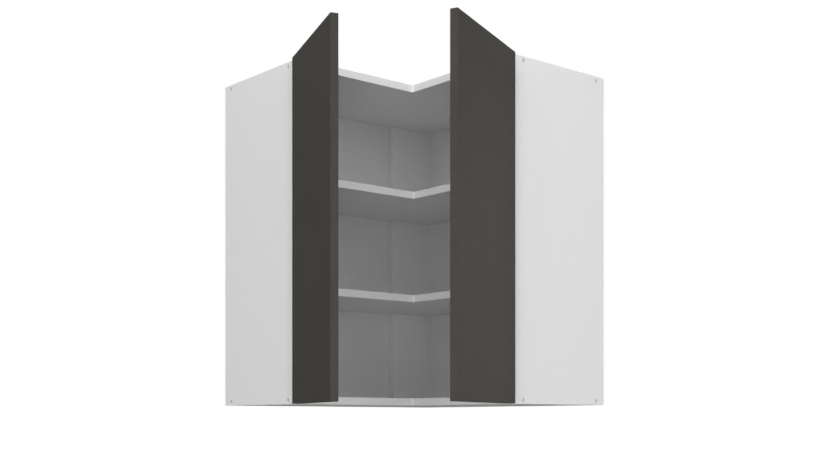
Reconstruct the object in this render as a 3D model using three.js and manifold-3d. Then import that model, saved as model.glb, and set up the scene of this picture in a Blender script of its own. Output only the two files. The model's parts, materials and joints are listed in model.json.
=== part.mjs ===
// Corner wall cabinet: an L-shaped carcass of white boards that hangs in a room corner, two shelves,
// and two plain doors that meet at the inner corner, each on two concealed wide-angle hinges.
// The origin is the room corner at the height of the carcass's underside, +Z is up. The right leg runs
// along +X on the wall y = 0, and the left leg runs along -Y on the wall x = 0.
import * as THREE from "three";
import { mergeVertices } from "three/addons/utils/BufferGeometryUtils.js";
import Module from "manifold-3d";

const wasm = await Module();
wasm.setup();

// Driving dimensions, in millimetres and degrees.
const WALL_LENGTH = 600; // each leg, from the room corner to the outer face of its side panel
const LEG_DEPTH = 288; // from the wall to the front edges of the carcass
const HEIGHT = 720;
const BOARD = 16; // side, top and bottom panels, shelves, corner board
const BACK_THICKNESS = 3;
const REBATE_WIDTH = 8; // how far the back boards reach into the panels' rear edges
const CORNER_BOARD_WIDTH = 123;
const INNER_CORNER_RADIUS = 3; // fillet where the two front edges of a panel meet
const STOREYS = 3; // equally high
const SHELF_PITCH = (HEIGHT - BOARD) / STOREYS; // from underside to underside, from the bottom panel up
const SHELF_SETBACK = 18; // behind the carcass's front edges
const SHELF_PLAY = 1; // all round, so that a shelf can be lifted out
const FINE_ROUND = 12; // sides of pins, screws and bores
const COARSE_ROUND = 24; // sides of cups and screw heads
const BEND_SEGMENTS = 6; // steps of a quarter turn in an outline
const SEAT_GAP = 0.2; // between boards that lie against each other
const RUNNING_GAP = 0.3; // round pins, screws and sliding faces
const OVERRUN = 1; // how far a cutter passes a face, or one joined body enters another
const WELD = 1e-4; // corners closer than this are one

const SCREW_FROM_REAR = 25; // carcass screws, from the rear edge of a side panel
const SCREW_FROM_FRONT = 37;
const SCREW_FROM_END = 9; // from the side panel's upper and lower ends
const SCREW_LENGTH = 50;
const SCREW_RADIUS = 2.5;
const SCREW_HEAD_RADIUS = 4;
const SCREW_HEAD_DEPTH = 4;
const SCREW_SOCKET_RADIUS = 2.2;
const SCREW_SOCKET_DEPTH = 2.5;
const SOCKET_SIDES = 6;

const PIN_FROM_REAR = 55; // shelf pins, from the wall
const PIN_FROM_FRONT = 50;
const PIN_HOLE_DEPTH = 9;
const PIN_INSERT = 8;
const PIN_INSERT_RADIUS = 2.5;
const PIN_REACH = 8; // how far a pin stands out under its shelf
const PIN_RADIUS = 3.5;
const CORNER_PIN_LENGTH = 20; // hidden, half in the corner board and half in the shelf's edge

const DOOR_THICKNESS = 16;
const DOOR_WIDTH = 290;
const DOOR_EDGE_RADIUS = 0.8;
const DOOR_EDGE_STEPS = 2;
const DOOR_SIDE_REVEAL = 1.5; // hinge edge behind the side panel's outer face, door closed
const DOOR_TOP_REVEAL = 6;
const DOOR_BOTTOM_REVEAL = 0.5;
const DOOR_GAP = 2; // between a closed door and the carcass
const LEFT_OPENING = 110.6; // degrees that the left door stands open
const RIGHT_OPENING = 113.9; // degrees that the right door stands open

const HINGE_INSET = 100; // hinge centres from the door's upper and lower edges
const CUP_RADIUS = 17.5;
const CUP_DEPTH = 11.5;
const CUP_WALL = 1.6;
const CUP_PIN_SEAT = 0.4; // how far the cup's pin enters its wall
const CUP_FROM_EDGE = 5; // from the door's hinge edge to the cup's rim
const CUP_FLANGE_THICKNESS = 1.2;
const CUP_FLANGE_WIDTH = 2.5; // beyond the cup, all round
const CUP_WING_REACH = 31; // up and down from the hinge's centre
const CUP_WING_RADIUS = 6.5;
const CUP_WING_SHIFT = 6; // wing centre line, from the cup's centre away from the hinge edge
const CUP_SCREW_SPACING = 50;
const SMALL_HEAD_RADIUS = 3.6; // screw heads on the hinges
const SMALL_HEAD_HEIGHT = 0.9;

// Hinge pivots with the door closed: inset from the side panel's outer face, and forward of the
// carcass's front edges. The cup's pin is given from the door's hinge edge and inner face.
const ARM_PIVOT_INSET = 28;
const ARM_PIVOT_FORWARD = -10;
const KNEE_INSET = 60;
const KNEE_FORWARD = -20;
const CUP_PIN_FROM_EDGE = 20;
const CUP_PIN_DEPTH = 5;
const KNEE_SHARE = 0.8; // the knee folds by this share of the door's turn, and the cup turns as much back
const HINGE_PIN_RADIUS = 2;
const KNEE_LINK_HALF_WIDTH = 3.5; // across the height
const FORK_CHEEK = 3.2;
const LINK_EYE_RADIUS = 4.2;
const SWING_EYE_RADIUS = 5.2;
const ARM_SHEET = 1.5;
const ARM_RADIUS = 6; // half the arm's width in plan
const ARM_LENGTH = 46; // from its pivot back to the centre of its round rear end
const ARM_WEB_SETBACK = 16; // the web starts this far behind the pivot
const ARM_SCREW_SETBACK = 12; // the arm's screw, behind the web's front end
const PLATE_THICKNESS = 2;
const PLATE_WING_REACH = 26; // up and down from the hinge's centre
const PLATE_WING_WIDTH = 16;
const PLATE_SCREW_SPACING = 32;
const PLATE_SCREW_SETBACK = 37; // from the carcass's front edges

const HANGER_WIDTH = 17;
const HANGER_DEPTH = 46;
const HANGER_HEIGHT = 56;
const HANGER_BELOW_TOP = 4;
const HANGER_NOSE = 12; // chamfer on the lower front corner
const HANGER_SCREWS_BELOW = [12, 34]; // its two adjusting screws, below the housing's top
const HOOK_THICKNESS = 4;
const HOOK_BAR = 6;
const HOOK_DROP = 16; // from the bar's top to the tip
const HOOK_LIP = 2;
const HOOK_SLOT_DEPTH = 34; // into the housing from its rear face
const HOOK_BELOW = 16; // bar's top below the housing's top
const CUTOUT_MARGIN = 5; // round the hook, in the back board

const BUMPER_RADIUS = 4;
const BUMPER_TOP_RADIUS = 3;
const BUMPER_HEIGHT = 1.4;
const BUMPER_FROM_EDGE = 10; // from the door's free edge
const BUMPER_FROM_END = 7; // from the door's upper and lower edges

// Derived places.
const FLOOR = BOARD; // top of the bottom panel
const CEILING = HEIGHT - BOARD; // underside of the top panel
const INNER_SIDE = WALL_LENGTH - BOARD; // inner face of a side panel
const REBATE_DEPTH = BACK_THICKNESS + SEAT_GAP;
const DOOR_BOTTOM = DOOR_BOTTOM_REVEAL;
const DOOR_TOP = HEIGHT - DOOR_TOP_REVEAL;
const DOOR_HINGE_EDGE = WALL_LENGTH - DOOR_SIDE_REVEAL;
const DOOR_FREE_EDGE = DOOR_HINGE_EDGE - DOOR_WIDTH;
const DOOR_BACK = LEG_DEPTH + DOOR_GAP; // inner face of a closed door, from the wall
const CUP_CENTRE = DOOR_HINGE_EDGE - CUP_FROM_EDGE - CUP_RADIUS;
const ARM_PIVOT = new THREE.Vector2(WALL_LENGTH - ARM_PIVOT_INSET, LEG_DEPTH + ARM_PIVOT_FORWARD);
const KNEE = new THREE.Vector2(WALL_LENGTH - KNEE_INSET, LEG_DEPTH + KNEE_FORWARD);
const CUP_PIN = new THREE.Vector2(DOOR_HINGE_EDGE - CUP_PIN_FROM_EDGE, DOOR_BACK + CUP_PIN_DEPTH);
const FORK_INNER = KNEE_LINK_HALF_WIDTH + RUNNING_GAP;
const FORK_OUTER = FORK_INNER + FORK_CHEEK;
const ARM_INNER = FORK_OUTER + RUNNING_GAP;
const ARM_OUTER = ARM_INNER + ARM_SHEET;

// The two legs. A leg's frame has s along the wall from the room corner, q out from the wall, and z up.
const LEGS = [
  { name: "left", opening: LEFT_OPENING, turn: -Math.PI / 2, flip: 1 },
  { name: "right", opening: RIGHT_OPENING, turn: 0, flip: -1 },
];

const WHITE_BOARD = new THREE.MeshStandardMaterial({ color: 0xe9e9e7, roughness: 0.5 });
const BACK_BOARD = new THREE.MeshStandardMaterial({ color: 0xe2e2df, roughness: 0.6 });
const DARK_FRONT = new THREE.MeshStandardMaterial({ color: 0x42413c, roughness: 0.3 });
const STEEL = new THREE.MeshStandardMaterial({ color: 0xb9b9b6, roughness: 0.35, metalness: 1 });
const PLASTIC = new THREE.MeshStandardMaterial({ color: 0xd9d9d6, roughness: 0.55 });
const RUBBER = new THREE.MeshStandardMaterial({ color: 0xc9c9c6, roughness: 0.7 });

/** A closed geometry as a solid that can be joined and cut. */
function solidOf(geometry) {
  const plain = geometry.index ? geometry.toNonIndexed() : geometry.clone();
  plain.deleteAttribute("normal");
  plain.deleteAttribute("uv");
  const merged = mergeVertices(plain, WELD);
  return new wasm.Manifold(
    new wasm.Mesh({
      numProp: 3,
      vertProperties: merged.attributes.position.array,
      triVerts: new Uint32Array(merged.index.array),
    }),
  );
}

/** A solid back as a geometry. */
function geometryOf(solid) {
  const mesh = solid.getMesh();
  return new THREE.BufferGeometry()
    .setAttribute("position", new THREE.BufferAttribute(new Float32Array(mesh.vertProperties), 3))
    .setIndex(new THREE.BufferAttribute(new Uint32Array(mesh.triVerts), 1));
}

/** Joins geometries, then takes the cutters out of them. */
function shaped(bodies, cutters = []) {
  const joined = bodies.map(solidOf).reduce((all, solid) => all.add(solid));
  return geometryOf(cutters.map(solidOf).reduce((left, solid) => left.subtract(solid), joined));
}

/** A rectangular block between two corners. */
function block([x0, x1], [y0, y1], [z0, z1]) {
  return new THREE.BoxGeometry(x1 - x0, y1 - y0, z1 - z0).translate(
    (x0 + x1) / 2,
    (y0 + y1) / 2,
    (z0 + z1) / 2,
  );
}

/** A round rod between two points. */
function rod(radius, from, to, segments = FINE_ROUND) {
  const axis = new THREE.Vector3().subVectors(to, from);
  const turn = new THREE.Quaternion().setFromUnitVectors(
    new THREE.Vector3(0, 1, 0),
    axis.clone().normalize(),
  );
  const middle = new THREE.Vector3().addVectors(from, to).multiplyScalar(0.5);
  return new THREE.CylinderGeometry(radius, radius, axis.length(), segments)
    .applyQuaternion(turn)
    .translate(middle.x, middle.y, middle.z);
}

/** A rod along s at one place in q and z. */
const rodAlongS = (radius, s0, s1, q, z, segments) =>
  rod(radius, new THREE.Vector3(s0, q, z), new THREE.Vector3(s1, q, z), segments);

/** A rod along q at one place in s and z. */
const rodAlongQ = (radius, q0, q1, s, z, segments) =>
  rod(radius, new THREE.Vector3(s, q0, z), new THREE.Vector3(s, q1, z), segments);

/** An upright pin of a given half length about a point in plan. */
const uprightPin = (radius, at, z, half) =>
  rod(radius, new THREE.Vector3(at.x, at.y, z - half), new THREE.Vector3(at.x, at.y, z + half));

/** A flat plate of a plan outline, between two heights. */
function plate(outline, z0, z1) {
  const settings = { depth: z1 - z0, bevelEnabled: false, curveSegments: BEND_SEGMENTS };
  return new THREE.ExtrudeGeometry(outline, settings).translate(0, 0, z0);
}

/** The outline of a bar with round ends about two points. */
function barOutline(a, b, radius) {
  const heading = Math.atan2(b.y - a.y, b.x - a.x);
  const quarter = Math.PI / 2;
  return new THREE.Shape()
    .absarc(b.x, b.y, radius, heading - quarter, heading + quarter, false)
    .absarc(a.x, a.y, radius, heading + quarter, heading + 3 * quarter, false);
}

/** The L of a top, bottom or shelf panel in plan, filleted where its two front edges meet. */
function panelOutline(rear, end, front) {
  const r = INNER_CORNER_RADIUS;
  return new THREE.Shape()
    .moveTo(rear, -rear)
    .lineTo(rear, -end)
    .lineTo(front, -end)
    .lineTo(front, -front - r)
    .absarc(front + r, -front - r, r, Math.PI, Math.PI / 2, true)
    .lineTo(end, -front)
    .lineTo(end, -rear);
}

/** A profile in q and z, spread along s. */
function upright(profile, s0, s1) {
  const toLeg = new THREE.Matrix4().makeBasis(
    new THREE.Vector3(0, 1, 0),
    new THREE.Vector3(0, 0, 1),
    new THREE.Vector3(1, 0, 0),
  );
  return plate(profile, s0, s1).applyMatrix4(toLeg);
}

/** An outline in s and z, spread along q from the wall, with its edges softened by a bevel. */
function fromWall(outline, q0, q1, bevel = 0) {
  const settings = {
    depth: q1 - q0 - 2 * bevel,
    bevelEnabled: bevel > 0,
    bevelThickness: bevel,
    bevelSize: bevel,
    bevelSegments: DOOR_EDGE_STEPS,
    curveSegments: BEND_SEGMENTS,
  };
  return new THREE.ExtrudeGeometry(outline, settings).rotateX(Math.PI / 2).translate(0, q1 - bevel, 0);
}

/** A point of a leg's frame in the cabinet's frame. */
function legPoint(leg, s, q, z) {
  return leg.flip > 0 ? new THREE.Vector3(q, -s, z) : new THREE.Vector3(s, -q, z);
}

/** The heights of the carcass screws, which enter the ends of the bottom and top panels. */
const SCREW_LEVELS = { lower: SCREW_FROM_END, upper: HEIGHT - SCREW_FROM_END };
const SCREW_PLACES = { rear: SCREW_FROM_REAR, front: LEG_DEPTH - SCREW_FROM_FRONT };
const PIN_PLACES = { rear: PIN_FROM_REAR, front: LEG_DEPTH - PIN_FROM_FRONT };
const HINGE_LEVELS = { lower: DOOR_BOTTOM + HINGE_INSET, upper: DOOR_TOP - HINGE_INSET };
const SHELVES = ["lower", "upper"].map((name, i) => ({ name, bottom: SHELF_PITCH * (i + 1) }));

/** The height of a shelf's pins, whose pegs touch its underside. */
const pinLevel = ({ bottom }) => bottom - SEAT_GAP - PIN_RADIUS;

/** A shelf's hidden pin along X, centred on the face of the corner board at the shelf's mid-thickness. */
function cornerPin(shelf, radius, length) {
  const face = REBATE_DEPTH + BOARD;
  const middle = new THREE.Vector3(face, -REBATE_DEPTH - CORNER_BOARD_WIDTH / 2, shelf.bottom + BOARD / 2);
  const half = new THREE.Vector3(length / 2, 0, 0);
  return rod(radius, middle.clone().sub(half), middle.clone().add(half));
}

/** The bore of that pin, in the corner board and in the shelf. */
const cornerPinBore = (shelf) =>
  cornerPin(shelf, PIN_INSERT_RADIUS + RUNNING_GAP, CORNER_PIN_LENGTH + 2 * OVERRUN);

/** Adds a named mesh to a group. */
function addPiece(group, name, geometry, material) {
  const mesh = new THREE.Mesh(geometry, material);
  mesh.name = name;
  group.add(mesh);
  return mesh;
}

/** A side panel, rebated for its back board and bored for the screws and shelf pins. */
function sidePanel() {
  const outline = new THREE.Shape()
    .moveTo(INNER_SIDE + REBATE_WIDTH, 0)
    .lineTo(WALL_LENGTH, 0)
    .lineTo(WALL_LENGTH, LEG_DEPTH)
    .lineTo(INNER_SIDE, LEG_DEPTH)
    .lineTo(INNER_SIDE, REBATE_DEPTH)
    .lineTo(INNER_SIDE + REBATE_WIDTH, REBATE_DEPTH);
  const bores = [];
  const headSeat = WALL_LENGTH - SCREW_HEAD_DEPTH - RUNNING_GAP;
  const inside = INNER_SIDE - OVERRUN;
  const outside = WALL_LENGTH + OVERRUN;
  for (const z of Object.values(SCREW_LEVELS)) {
    for (const q of Object.values(SCREW_PLACES)) {
      bores.push(rodAlongS(SCREW_RADIUS + RUNNING_GAP, inside, outside, q, z));
      bores.push(rodAlongS(SCREW_HEAD_RADIUS + RUNNING_GAP, headSeat, outside, q, z, COARSE_ROUND));
    }
  }
  for (const shelf of SHELVES) {
    for (const q of Object.values(PIN_PLACES)) {
      const radius = PIN_INSERT_RADIUS + RUNNING_GAP;
      bores.push(rodAlongS(radius, inside, INNER_SIDE + PIN_HOLE_DEPTH, q, pinLevel(shelf)));
    }
  }
  return shaped([plate(outline, 0, HEIGHT)], bores);
}

/** The top or bottom panel: an L with rebated rear edges and a bore for each carcass screw. */
function endPanel(z0, screwLevel, rebate) {
  const end = INNER_SIDE - SEAT_GAP;
  const cutters = [
    block([-OVERRUN, REBATE_DEPTH], [-WALL_LENGTH, OVERRUN], rebate),
    block([-OVERRUN, WALL_LENGTH], [-REBATE_DEPTH, OVERRUN], rebate),
  ];
  for (const leg of LEGS) {
    for (const q of Object.values(SCREW_PLACES)) {
      const mouth = legPoint(leg, end + OVERRUN, q, screwLevel);
      const bottom = legPoint(leg, WALL_LENGTH - SCREW_LENGTH - OVERRUN, q, screwLevel);
      cutters.push(rod(SCREW_RADIUS + RUNNING_GAP, bottom, mouth));
    }
  }
  return shaped([plate(panelOutline(0, end, LEG_DEPTH), z0, z0 + BOARD)], cutters);
}

/** A shelf, notched round the corner board and bored for its hidden pin. */
function shelf(level) {
  const z0 = level.bottom;
  const rear = BACK_THICKNESS + SHELF_PLAY;
  const end = INNER_SIDE - SHELF_PLAY;
  const notch = block(
    [0, REBATE_DEPTH + BOARD + SHELF_PLAY],
    [-REBATE_DEPTH - CORNER_BOARD_WIDTH - SHELF_PLAY, 0],
    [z0 - OVERRUN, z0 + BOARD + OVERRUN],
  );
  const panel = plate(panelOutline(rear, end, LEG_DEPTH - SHELF_SETBACK), z0, z0 + BOARD);
  return shaped([panel], [notch, cornerPinBore(level)]);
}

/** The upright board in the room corner, which holds one hidden pin for each shelf. */
function cornerBoard() {
  const board = block(
    [REBATE_DEPTH, REBATE_DEPTH + BOARD],
    [-REBATE_DEPTH - CORNER_BOARD_WIDTH, -REBATE_DEPTH],
    [FLOOR + SEAT_GAP, CEILING - SEAT_GAP],
  );
  return shaped([board], SHELVES.map(cornerPinBore));
}

/** A leg's back board in its rebates, cut out round the hanger's hook. */
function backBoard(start) {
  const edge = REBATE_WIDTH - SEAT_GAP;
  const hookTop = CEILING - HANGER_BELOW_TOP - HOOK_BELOW;
  const hookAt = INNER_SIDE - SEAT_GAP - HANGER_WIDTH / 2;
  const board = block(
    [start, INNER_SIDE + edge],
    [0, BACK_THICKNESS],
    [FLOOR - edge, CEILING + edge],
  );
  const reach = HOOK_THICKNESS / 2 + CUTOUT_MARGIN;
  const cutout = block(
    [hookAt - reach, hookAt + reach],
    [-OVERRUN, BACK_THICKNESS + OVERRUN],
    [hookTop - HOOK_DROP - CUTOUT_MARGIN, hookTop + CUTOUT_MARGIN],
  );
  return shaped([board], [cutout]);
}

/** A carcass screw along s, its head just under the side panel's face. */
function carcassScrew(q, z) {
  const face = WALL_LENGTH - RUNNING_GAP;
  const bottom = face - SCREW_SOCKET_DEPTH;
  const socket = rodAlongS(SCREW_SOCKET_RADIUS, bottom, face + OVERRUN, q, z, SOCKET_SIDES);
  const head = rodAlongS(SCREW_HEAD_RADIUS, face - SCREW_HEAD_DEPTH, face, q, z, COARSE_ROUND);
  const shank = rodAlongS(SCREW_RADIUS, WALL_LENGTH - SCREW_LENGTH, face - SCREW_HEAD_DEPTH / 2, q, z);
  return shaped([head, shank], [socket]);
}

/** A shelf pin from its blind end to its tip: the insert, and the thicker peg the shelf rests on. */
function shelfPin(face, outward) {
  const along = (distance) => face.clone().addScaledVector(outward, distance);
  const insert = rod(PIN_INSERT_RADIUS, along(-PIN_INSERT), along(OVERRUN));
  return shaped([insert, rod(PIN_RADIUS, along(SEAT_GAP), along(PIN_REACH))]);
}

/** The hanger's housing, slotted at its rear for the hook. */
function hangerHousing() {
  const top = CEILING - HANGER_BELOW_TOP;
  const side = INNER_SIDE - SEAT_GAP;
  const rear = REBATE_DEPTH + SEAT_GAP;
  const profile = new THREE.Shape()
    .moveTo(rear, top)
    .lineTo(rear, top - HANGER_HEIGHT)
    .lineTo(rear + HANGER_DEPTH - HANGER_NOSE, top - HANGER_HEIGHT)
    .lineTo(rear + HANGER_DEPTH, top - HANGER_HEIGHT + HANGER_NOSE)
    .lineTo(rear + HANGER_DEPTH, top);
  const middle = side - HANGER_WIDTH / 2;
  const half = HOOK_THICKNESS / 2 + RUNNING_GAP;
  const hookTop = top - HOOK_BELOW;
  const slot = block(
    [middle - half, middle + half],
    [0, rear + HOOK_SLOT_DEPTH],
    [hookTop - HOOK_BAR - RUNNING_GAP, hookTop + RUNNING_GAP],
  );
  const face = rear + HANGER_DEPTH;
  const screws = HANGER_SCREWS_BELOW.map((drop) =>
    rodAlongQ(SMALL_HEAD_RADIUS, face - OVERRUN, face + SMALL_HEAD_HEIGHT, middle, top - drop),
  );
  return shaped([upright(profile, side - HANGER_WIDTH, side), ...screws], [slot]);
}

/** The steel hook that hangs over a plate on the wall: a bar with a downturned lip at the wall. */
function hangerHook() {
  const top = CEILING - HANGER_BELOW_TOP - HOOK_BELOW;
  const middle = INNER_SIDE - SEAT_GAP - HANGER_WIDTH / 2;
  const rear = REBATE_DEPTH + SEAT_GAP;
  const profile = new THREE.Shape()
    .moveTo(SEAT_GAP, top)
    .lineTo(SEAT_GAP, top - HOOK_DROP)
    .lineTo(SEAT_GAP + HOOK_LIP, top - HOOK_DROP)
    .lineTo(SEAT_GAP + HOOK_LIP, top - HOOK_BAR)
    .lineTo(rear + HOOK_SLOT_DEPTH - RUNNING_GAP, top - HOOK_BAR)
    .lineTo(rear + HOOK_SLOT_DEPTH - RUNNING_GAP, top);
  return upright(profile, middle - HOOK_THICKNESS / 2, middle + HOOK_THICKNESS / 2);
}

/** The hinge's base on the side panel: a cross of sheet under a rail that the arm sits over. */
function mountingPlate(z) {
  const face = INNER_SIDE - SEAT_GAP;
  const railTop = WALL_LENGTH - ARM_PIVOT_INSET - ARM_RADIUS + ARM_SHEET + RUNNING_GAP;
  const rear = ARM_PIVOT.y - ARM_LENGTH;
  const front = ARM_PIVOT.y - ARM_WEB_SETBACK;
  const screwAt = LEG_DEPTH - PLATE_SCREW_SETBACK;
  const half = FORK_OUTER;
  const inner = face - PLATE_THICKNESS;
  const bodies = [
    block([inner, face], [rear, front + half], [z - half, z + half]),
    block(
      [inner, face],
      [screwAt - PLATE_WING_WIDTH / 2, screwAt + PLATE_WING_WIDTH / 2],
      [z - PLATE_WING_REACH, z + PLATE_WING_REACH],
    ),
    block([railTop, inner + OVERRUN], [rear + half, front - half], [z - half, z + half]),
  ];
  for (const side of [-1, 1]) {
    const screwZ = z + (side * PLATE_SCREW_SPACING) / 2;
    const top = inner - SMALL_HEAD_HEIGHT;
    bodies.push(rodAlongS(SMALL_HEAD_RADIUS, top, inner + OVERRUN, screwAt, screwZ));
  }
  return shaped(bodies);
}

/** The hinge's arm: two cheeks and a web over the plate's rail, and the pin of the first pivot. */
function hingeArm(z) {
  const rear = new THREE.Vector2(ARM_PIVOT.x, ARM_PIVOT.y - ARM_LENGTH);
  const outline = barOutline(rear, ARM_PIVOT, ARM_RADIUS);
  const webFace = ARM_PIVOT.x - ARM_RADIUS;
  const webFront = ARM_PIVOT.y - ARM_WEB_SETBACK;
  const screwAt = webFront - ARM_SCREW_SETBACK;
  return shaped([
    plate(outline, z - ARM_OUTER, z - ARM_INNER),
    plate(outline, z + ARM_INNER, z + ARM_OUTER),
    block([webFace, webFace + ARM_SHEET], [rear.y, webFront], [z - ARM_OUTER, z + ARM_OUTER]),
    rodAlongS(SMALL_HEAD_RADIUS, webFace - SMALL_HEAD_HEIGHT, webFace + OVERRUN, screwAt, z),
    uprightPin(HINGE_PIN_RADIUS, ARM_PIVOT, z, ARM_OUTER),
  ]);
}

/** The first link: a fork from the arm's pin to the knee, with the knee's pin. */
function swingLink(z) {
  const outline = barOutline(ARM_PIVOT, KNEE, SWING_EYE_RADIUS);
  return shaped(
    [
      plate(outline, z - FORK_OUTER, z - FORK_INNER),
      plate(outline, z + FORK_INNER, z + FORK_OUTER),
      uprightPin(SWING_EYE_RADIUS, ARM_PIVOT, z, FORK_INNER + FORK_CHEEK / 2),
      uprightPin(HINGE_PIN_RADIUS, KNEE, z, FORK_INNER + FORK_CHEEK / 2),
    ],
    [uprightPin(HINGE_PIN_RADIUS + RUNNING_GAP, ARM_PIVOT, z, FORK_OUTER + OVERRUN)],
  );
}

/** The second link: a flat bar from the knee's pin to the pin in the cup. */
function kneeLink(z) {
  const half = KNEE_LINK_HALF_WIDTH;
  const bores = [KNEE, CUP_PIN].map((at) =>
    uprightPin(HINGE_PIN_RADIUS + RUNNING_GAP, at, z, half + OVERRUN),
  );
  return shaped([plate(barOutline(KNEE, CUP_PIN, LINK_EYE_RADIUS), z - half, z + half)], bores);
}

/** The cup in the door: a bowl with a flange and two screwed wings, and the pin of the last pivot. */
function hingeCup(z) {
  const outer = DOOR_BACK - SEAT_GAP; // the flange's side towards the door
  const inner = outer - CUP_FLANGE_THICKNESS;
  const wingAt = CUP_CENTRE - CUP_WING_SHIFT;
  const wingEnd = CUP_WING_REACH - CUP_WING_RADIUS;
  const wing = barOutline(
    new THREE.Vector2(wingAt, z - wingEnd),
    new THREE.Vector2(wingAt, z + wingEnd),
    CUP_WING_RADIUS,
  );
  const bodies = [
    rodAlongQ(CUP_RADIUS, inner, DOOR_BACK + CUP_DEPTH, CUP_CENTRE, z, COARSE_ROUND),
    rodAlongQ(CUP_RADIUS + CUP_FLANGE_WIDTH, inner, outer, CUP_CENTRE, z, COARSE_ROUND),
    fromWall(wing, inner, outer),
  ];
  for (const side of [-1, 1]) {
    const screwZ = z + (side * CUP_SCREW_SPACING) / 2;
    const top = inner - SMALL_HEAD_HEIGHT;
    bodies.push(rodAlongQ(SMALL_HEAD_RADIUS, top, inner + OVERRUN, wingAt, screwZ));
  }
  const cavity = CUP_RADIUS - CUP_WALL;
  const bowlEnd = DOOR_BACK + CUP_DEPTH - CUP_WALL;
  const bowl = rodAlongQ(cavity, inner - OVERRUN, bowlEnd, CUP_CENTRE, z, COARSE_ROUND);
  const hollow = shaped(bodies, [bowl]);
  return shaped([hollow, uprightPin(HINGE_PIN_RADIUS, CUP_PIN, z, cavity + CUP_PIN_SEAT)]);
}

/** A door with softened edges, bored for its two cups. */
function door() {
  const r = DOOR_EDGE_RADIUS;
  const outline = new THREE.Shape()
    .moveTo(DOOR_FREE_EDGE + r, DOOR_BOTTOM + r)
    .lineTo(DOOR_HINGE_EDGE - r, DOOR_BOTTOM + r)
    .lineTo(DOOR_HINGE_EDGE - r, DOOR_TOP - r)
    .lineTo(DOOR_FREE_EDGE + r, DOOR_TOP - r);
  const slab = fromWall(outline, DOOR_BACK, DOOR_BACK + DOOR_THICKNESS, r);
  const boreEnd = DOOR_BACK + CUP_DEPTH + SEAT_GAP;
  const bores = Object.values(HINGE_LEVELS).map((z) =>
    rodAlongQ(CUP_RADIUS + RUNNING_GAP, DOOR_BACK - OVERRUN, boreEnd, CUP_CENTRE, z, COARSE_ROUND),
  );
  return shaped([slab], bores);
}

/** A soft button on the door's inner face that meets the carcass's front edge. */
function bumper(z) {
  const profile = [
    [0, 0],
    [BUMPER_RADIUS, 0],
    [BUMPER_RADIUS, BUMPER_HEIGHT / 2],
    [BUMPER_TOP_RADIUS, BUMPER_HEIGHT],
    [0, BUMPER_HEIGHT],
  ].map(([x, y]) => new THREE.Vector2(x, y));
  return new THREE.LatheGeometry(profile, FINE_ROUND)
    .rotateX(Math.PI)
    .translate(DOOR_FREE_EDGE + BUMPER_FROM_EDGE, DOOR_BACK - SEAT_GAP, z);
}

/** A turning group about a pivot in plan. Its pieces keep the leg's own coordinates. */
function turningGroup(parent, pivot, degrees) {
  const turn = new THREE.Group();
  turn.position.set(pivot.x, pivot.y, 0);
  turn.rotation.z = -THREE.MathUtils.degToRad(degrees);
  const content = new THREE.Group();
  content.position.set(-pivot.x, -pivot.y, 0);
  turn.add(content);
  parent.add(turn);
  return content;
}

/** The fixed pieces of one leg, which belong to the carcass. */
function addLegCarcass(group, leg) {
  addPiece(group, `side_panel_${leg.name}`, sidePanel(), WHITE_BOARD);
  const backStart = leg.name === "left" ? 0 : REBATE_DEPTH;
  addPiece(group, `back_board_${leg.name}`, backBoard(backStart), BACK_BOARD);
  for (const [level, z] of Object.entries(SCREW_LEVELS))
    for (const [place, q] of Object.entries(SCREW_PLACES))
      addPiece(group, `carcass_screw_${leg.name}_${level}_${place}`, carcassScrew(q, z), STEEL);
  for (const shelf of SHELVES) {
    for (const [place, q] of Object.entries(PIN_PLACES)) {
      const face = new THREE.Vector3(INNER_SIDE, q, pinLevel(shelf));
      const pin = shelfPin(face, new THREE.Vector3(-1, 0, 0));
      addPiece(group, `shelf_pin_${leg.name}_${shelf.name}_${place}`, pin, STEEL);
    }
  }
  addPiece(group, `hanger_housing_${leg.name}`, hangerHousing(), PLASTIC);
  addPiece(group, `hanger_hook_${leg.name}`, hangerHook(), STEEL);
}

/** One leg's door on its two hinges, opened by the leg's angle. */
function addLegDoor(group, leg) {
  const fold = KNEE_SHARE * leg.opening;
  const swing = turningGroup(group, ARM_PIVOT, leg.opening);
  const knee = turningGroup(swing, KNEE, -fold);
  const leaf = turningGroup(knee, CUP_PIN, fold);
  for (const [level, z] of Object.entries(HINGE_LEVELS)) {
    const suffix = `${leg.name}_${level}`;
    addPiece(group, `mounting_plate_${suffix}`, mountingPlate(z), STEEL);
    addPiece(group, `hinge_arm_${suffix}`, hingeArm(z), STEEL);
    addPiece(swing, `swing_link_${suffix}`, swingLink(z), STEEL);
    addPiece(knee, `knee_link_${suffix}`, kneeLink(z), STEEL);
    addPiece(leaf, `hinge_cup_${suffix}`, hingeCup(z), STEEL);
  }
  addPiece(leaf, `door_${leg.name}`, door(), DARK_FRONT);
  addPiece(leaf, `bumper_${leg.name}_lower`, bumper(DOOR_BOTTOM + BUMPER_FROM_END), RUBBER);
  addPiece(leaf, `bumper_${leg.name}_upper`, bumper(DOOR_TOP - BUMPER_FROM_END), RUBBER);
}

/** The boards that both legs share, and the pins in the corner board. */
function addSharedBoards(group) {
  const bottom = endPanel(0, SCREW_LEVELS.lower, [FLOOR - REBATE_WIDTH, FLOOR + OVERRUN]);
  addPiece(group, "bottom_panel", bottom, WHITE_BOARD);
  const top = endPanel(CEILING, SCREW_LEVELS.upper, [CEILING - OVERRUN, CEILING + REBATE_WIDTH]);
  addPiece(group, "top_panel", top, WHITE_BOARD);
  addPiece(group, "corner_board", cornerBoard(), WHITE_BOARD);
  for (const level of SHELVES) {
    addPiece(group, `shelf_${level.name}`, shelf(level), WHITE_BOARD);
    const pin = cornerPin(level, PIN_INSERT_RADIUS, CORNER_PIN_LENGTH);
    addPiece(group, `shelf_pin_corner_${level.name}`, pin, STEEL);
  }
}

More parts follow.
